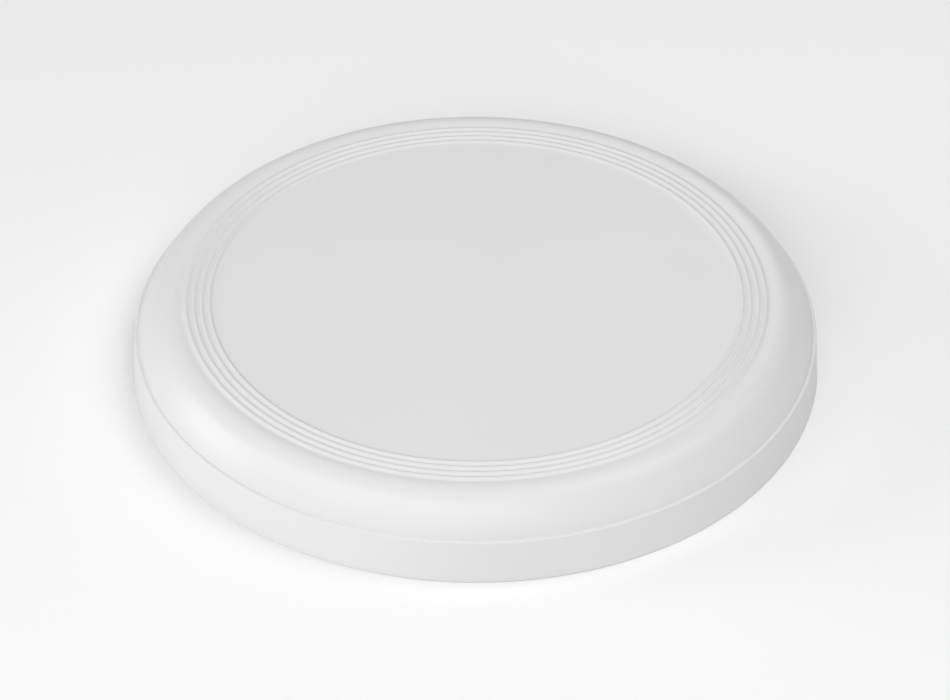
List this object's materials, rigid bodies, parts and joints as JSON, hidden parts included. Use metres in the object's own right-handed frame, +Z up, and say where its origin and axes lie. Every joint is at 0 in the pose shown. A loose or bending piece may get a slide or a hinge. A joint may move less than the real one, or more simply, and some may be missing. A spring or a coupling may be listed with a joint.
{
  "type": "flying disc",
  "caption": "Flat-topped plastic flying disc with raised rings round its centre plate, a crowned shoulder, a stepped rim band and a hollow underside.",
  "frame": {"origin": "centre of the rim's flat base, where the disc rests on a table", "axes": "+Z up along the spin axis, out of the centre plate; the disc is round, so +X and +Y are any two directions across it"},
  "size_m": [0.222, 0.222, 0.0271],
  "materials": {
    "disc_plastic": "satin white moulded polypropylene"
  },
  "bodies": {
    "root": {"disc": "disc_plastic"}
  },
  "joints": []
}
